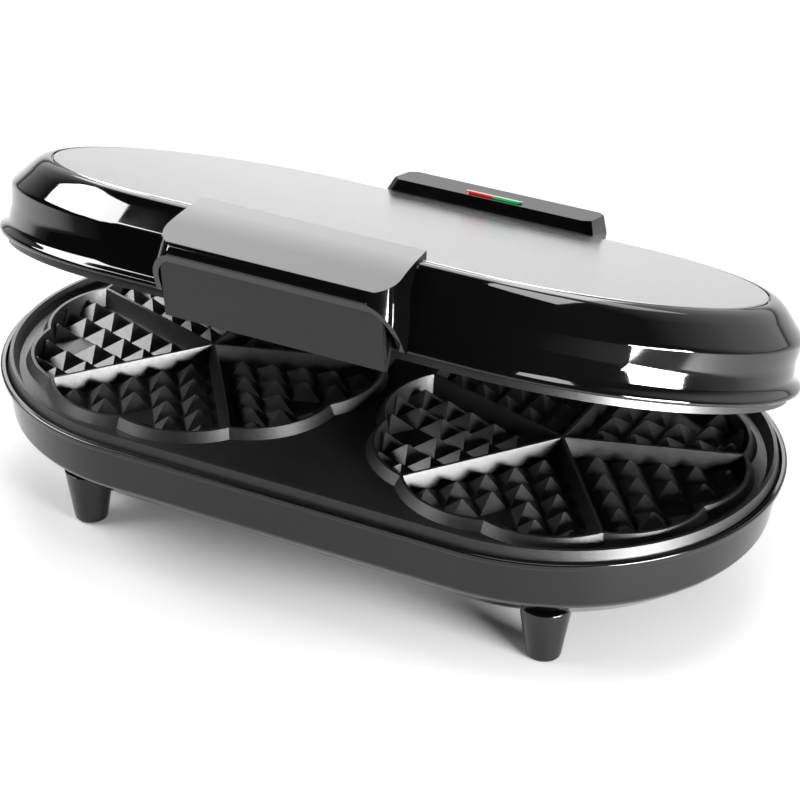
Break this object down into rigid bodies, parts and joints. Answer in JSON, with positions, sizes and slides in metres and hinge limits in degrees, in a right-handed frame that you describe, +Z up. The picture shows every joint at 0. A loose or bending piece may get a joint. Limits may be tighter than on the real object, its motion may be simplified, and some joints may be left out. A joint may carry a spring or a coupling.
{
  "type": "waffle maker",
  "caption": "Oval double waffle maker with heart-shaped rosettes, black body, steel lid top, front handle and rear hinge.",
  "frame": {"origin": "middle of the footprint, on the surface that the feet stand on", "axes": "+Z up, +X to the right along the long side, +Y to the back where the hinge is; the handle faces -Y"},
  "size_m": [0.3806, 0.2365, 0.1754],
  "materials": {
    "housing_plastic": "semi-gloss black moulded heat-resistant plastic",
    "lid_plastic": "high-gloss piano-black moulded plastic",
    "handle_plastic": "high-gloss black moulded plastic",
    "panel_plastic": "satin dark grey moulded plastic",
    "steel": "lightly brushed stainless steel",
    "non_stick": "cast aluminium with a black non-stick coating",
    "element_steel": "dull steel element sheath",
    "clamp_steel": "zinc-plated steel",
    "shield": "plain aluminised sheet",
    "screw_steel": "zinc-plated steel screws",
    "pin_steel": "ground steel pin",
    "foot_plastic": "gloss black moulded plastic",
    "rubber": "black anti-slip rubber",
    "hinge_plastic": "black glass-filled nylon",
    "inner_plastic": "cream heat-resistant moulding",
    "wire": "white silicone-sleeved wire",
    "red_lens": "clear red lens",
    "green_lens": "clear green lens",
    "lamp_glass": "neon lamp glass"
  },
  "bodies": {
    "base": {"base_housing": "housing_plastic", "lower_plate": "non_stick", "lower_heating_element": "element_steel", "lower_element_clamps": "clamp_steel", "lower_heat_shield": "shield", "lower_plate_screws": "screw_steel", "front_left_foot": "foot_plastic", "front_right_foot": "foot_plastic", "rear_left_foot": "foot_plastic", "rear_right_foot": "foot_plastic", "foot_pads": "rubber", "foot_screws": "screw_steel", "base_hinge_left": "hinge_plastic", "base_hinge_right": "hinge_plastic", "base_hinge_screws": "screw_steel", "cord_inlet_grommet": "rubber", "cord_clamp": "inner_plastic", "cord_clamp_screws": "screw_steel", "terminal_block": "inner_plastic", "terminal_screws": "screw_steel", "left_mains_lead": "wire", "right_mains_lead": "wire", "lower_thermal_fuse": "inner_plastic"},
    "lid": {"lid_shell": "lid_plastic", "steel_top_plate": "steel", "upper_plate": "non_stick", "upper_heating_element": "element_steel", "upper_element_clamps": "clamp_steel", "upper_heat_shield": "shield", "upper_plate_screws": "screw_steel", "handle_cover": "handle_plastic", "handle_panel": "panel_plastic", "handle_screws": "screw_steel", "lamp_housing": "lid_plastic", "red_lens": "red_lens", "green_lens": "green_lens", "lamp_carrier": "inner_plastic", "red_lamp": "lamp_glass", "green_lamp": "lamp_glass", "thermostat": "clamp_steel", "thermostat_screws": "screw_steel", "left_lid_lead": "wire", "right_lid_lead": "wire", "lid_hinge_left": "hinge_plastic", "lid_hinge_right": "hinge_plastic", "lid_hinge_screws": "screw_steel", "hinge_pin_left": "pin_steel", "hinge_pin_right": "pin_steel"}
  },
  "joints": [
    {"name": "lid_hinge", "type": "hinge", "parent": "base", "child": "lid", "pos_m": [0, 0.0988, 0.0761], "axis": [-1, 0, 0], "range_deg": [-19, 81]}
  ]
}
